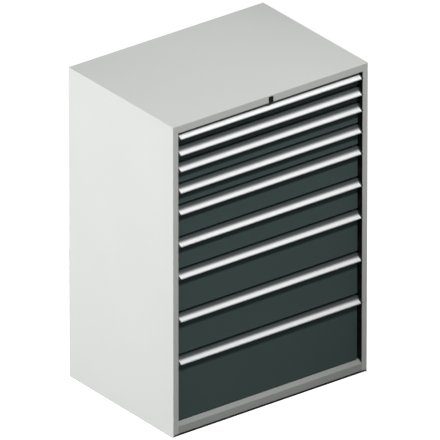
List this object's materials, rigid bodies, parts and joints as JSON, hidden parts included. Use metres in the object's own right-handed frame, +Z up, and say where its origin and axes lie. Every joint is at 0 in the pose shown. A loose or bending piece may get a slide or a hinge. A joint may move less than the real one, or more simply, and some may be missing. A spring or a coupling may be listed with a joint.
{
  "type": "drawer cabinet",
  "caption": "Free-standing steel drawer cabinet with full-width aluminium drawer handles, telescopic slides and a central lock.",
  "frame": {"origin": "on the floor, in the middle of the overall footprint with the handles included", "axes": "+X to the right seen from the front, +Y to the back, +Z up; the drawers open towards -Y"},
  "size_m": [1.023, 0.7312, 1.45],
  "materials": {
    "housing_paint": "satin light grey powder coat",
    "dark_steel": "matt near-black powder coat",
    "zinc_steel": "zinc plated",
    "front_paint": "fine matt anthracite powder coat",
    "tray_paint": "matt anthracite powder coat",
    "handle_aluminium": "fine anodised",
    "label_card": "smooth white strip under a clear cover",
    "glide_nylon": "natural nylon",
    "buffer_rubber": "matt",
    "lock_black": "matt black coating",
    "lock_plug": "nickel plated"
  },
  "bodies": {
    "housing": {"side_wall_left": "housing_paint", "side_wall_right": "housing_paint", "rear_wall": "housing_paint", "top_cover": "housing_paint", "base_sill": "housing_paint", "floor_panel": "dark_steel", "slotted_uprights": "dark_steel", "cabinet_runners": "zinc_steel", "runner_glides": "glide_nylon", "drawer_buffers": "buffer_rubber", "lock_housing": "lock_black", "lock_guides": "zinc_steel"},
    "lock_cylinder": {"lock_cylinder": "lock_plug"},
    "lock_rod": {"lock_rod": "zinc_steel"},
    "lock_bar": {"lock_bar": "zinc_steel"},
    "drawer_1": {"drawer_1_front": "front_paint", "drawer_1_tray": "tray_paint", "drawer_1_handle": "handle_aluminium", "drawer_1_label": "label_card"},
    "slides_1": {"drawer_1_slides": "zinc_steel"},
    "drawer_2": {"drawer_2_front": "front_paint", "drawer_2_tray": "tray_paint", "drawer_2_handle": "handle_aluminium", "drawer_2_label": "label_card"},
    "slides_2": {"drawer_2_slides": "zinc_steel"},
    "drawer_3": {"drawer_3_front": "front_paint", "drawer_3_tray": "tray_paint", "drawer_3_handle": "handle_aluminium", "drawer_3_label": "label_card"},
    "slides_3": {"drawer_3_slides": "zinc_steel"},
    "drawer_4": {"drawer_4_front": "front_paint", "drawer_4_tray": "tray_paint", "drawer_4_handle": "handle_aluminium", "drawer_4_label": "label_card"},
    "slides_4": {"drawer_4_slides": "zinc_steel"},
    "drawer_5": {"drawer_5_front": "front_paint", "drawer_5_tray": "tray_paint", "drawer_5_handle": "handle_aluminium", "drawer_5_label": "label_card"},
    "slides_5": {"drawer_5_slides": "zinc_steel"},
    "drawer_6": {"drawer_6_front": "front_paint", "drawer_6_tray": "tray_paint", "drawer_6_handle": "handle_aluminium", "drawer_6_label": "label_card"},
    "slides_6": {"drawer_6_slides": "zinc_steel"},
    "drawer_7": {"drawer_7_front": "front_paint", "drawer_7_tray": "tray_paint", "drawer_7_handle": "handle_aluminium", "drawer_7_label": "label_card"},
    "slides_7": {"drawer_7_slides": "zinc_steel"},
    "drawer_8": {"drawer_8_front": "front_paint", "drawer_8_tray": "tray_paint", "drawer_8_handle": "handle_aluminium", "drawer_8_label": "label_card"},
    "slides_8": {"drawer_8_slides": "zinc_steel"},
    "drawer_9": {"drawer_9_front": "front_paint", "drawer_9_tray": "tray_paint", "drawer_9_handle": "handle_aluminium", "drawer_9_label": "label_card"},
    "slides_9": {"drawer_9_slides": "zinc_steel"}
  },
  "joints": [
    {"name": "drawer_1_slide", "type": "slide", "parent": "housing", "child": "drawer_1", "axis": [0, -1, 0], "range_m": [0, 0.648]},
    {"name": "slides_1_slide", "type": "slide", "parent": "housing", "child": "slides_1", "axis": [0, -1, 0], "range_m": [0, 0.324]},
    {"name": "drawer_2_slide", "type": "slide", "parent": "housing", "child": "drawer_2", "axis": [0, -1, 0], "range_m": [0, 0.648]},
    {"name": "slides_2_slide", "type": "slide", "parent": "housing", "child": "slides_2", "axis": [0, -1, 0], "range_m": [0, 0.324]},
    {"name": "drawer_3_slide", "type": "slide", "parent": "housing", "child": "drawer_3", "axis": [0, -1, 0], "range_m": [0, 0.648]},
    {"name": "slides_3_slide", "type": "slide", "parent": "housing", "child": "slides_3", "axis": [0, -1, 0], "range_m": [0, 0.324]},
    {"name": "drawer_4_slide", "type": "slide", "parent": "housing", "child": "drawer_4", "axis": [0, -1, 0], "range_m": [0, 0.648]},
    {"name": "slides_4_slide", "type": "slide", "parent": "housing", "child": "slides_4", "axis": [0, -1, 0], "range_m": [0, 0.324]},
    {"name": "drawer_5_slide", "type": "slide", "parent": "housing", "child": "drawer_5", "axis": [0, -1, 0], "range_m": [0, 0.648]},
    {"name": "slides_5_slide", "type": "slide", "parent": "housing", "child": "slides_5", "axis": [0, -1, 0], "range_m": [0, 0.324]},
    {"name": "drawer_6_slide", "type": "slide", "parent": "housing", "child": "drawer_6", "axis": [0, -1, 0], "range_m": [0, 0.648]},
    {"name": "slides_6_slide", "type": "slide", "parent": "housing", "child": "slides_6", "axis": [0, -1, 0], "range_m": [0, 0.324]},
    {"name": "drawer_7_slide", "type": "slide", "parent": "housing", "child": "drawer_7", "axis": [0, -1, 0], "range_m": [0, 0.648]},
    {"name": "slides_7_slide", "type": "slide", "parent": "housing", "child": "slides_7", "axis": [0, -1, 0], "range_m": [0, 0.324]},
    {"name": "drawer_8_slide", "type": "slide", "parent": "housing", "child": "drawer_8", "axis": [0, -1, 0], "range_m": [0, 0.648]},
    {"name": "slides_8_slide", "type": "slide", "parent": "housing", "child": "slides_8", "axis": [0, -1, 0], "range_m": [0, 0.324]},
    {"name": "drawer_9_slide", "type": "slide", "parent": "housing", "child": "drawer_9", "axis": [0, -1, 0], "range_m": [0, 0.648]},
    {"name": "slides_9_slide", "type": "slide", "parent": "housing", "child": "slides_9", "axis": [0, -1, 0], "range_m": [0, 0.324]},
    {"name": "lock_bar_lift", "type": "slide", "parent": "housing", "child": "lock_bar", "axis": [0, 0, 1], "range_m": [0, 0.0113]},
    {"name": "lock_rod_shift", "type": "slide", "parent": "housing", "child": "lock_rod", "axis": [1, 0, 0], "range_m": [0, 0.0113]},
    {"name": "lock_turn", "type": "hinge", "parent": "housing", "child": "lock_cylinder", "pos_m": [0, -0.35, 1.43], "axis": [0, 1, 0], "range_deg": [0, 90]}
  ],
  "couplings": [
    {"joint": "slides_1_slide", "follows": "drawer_1_slide", "ratio": 0.5},
    {"joint": "slides_2_slide", "follows": "drawer_2_slide", "ratio": 0.5},
    {"joint": "slides_3_slide", "follows": "drawer_3_slide", "ratio": 0.5},
    {"joint": "slides_4_slide", "follows": "drawer_4_slide", "ratio": 0.5},
    {"joint": "slides_5_slide", "follows": "drawer_5_slide", "ratio": 0.5},
    {"joint": "slides_6_slide", "follows": "drawer_6_slide", "ratio": 0.5},
    {"joint": "slides_7_slide", "follows": "drawer_7_slide", "ratio": 0.5},
    {"joint": "slides_8_slide", "follows": "drawer_8_slide", "ratio": 0.5},
    {"joint": "slides_9_slide", "follows": "drawer_9_slide", "ratio": 0.5},
    {"joint": "lock_rod_shift", "follows": "lock_bar_lift", "ratio": 1},
    {"joint": "lock_turn", "follows": "lock_bar_lift", "rad_per_m": 138.8}
  ]
}
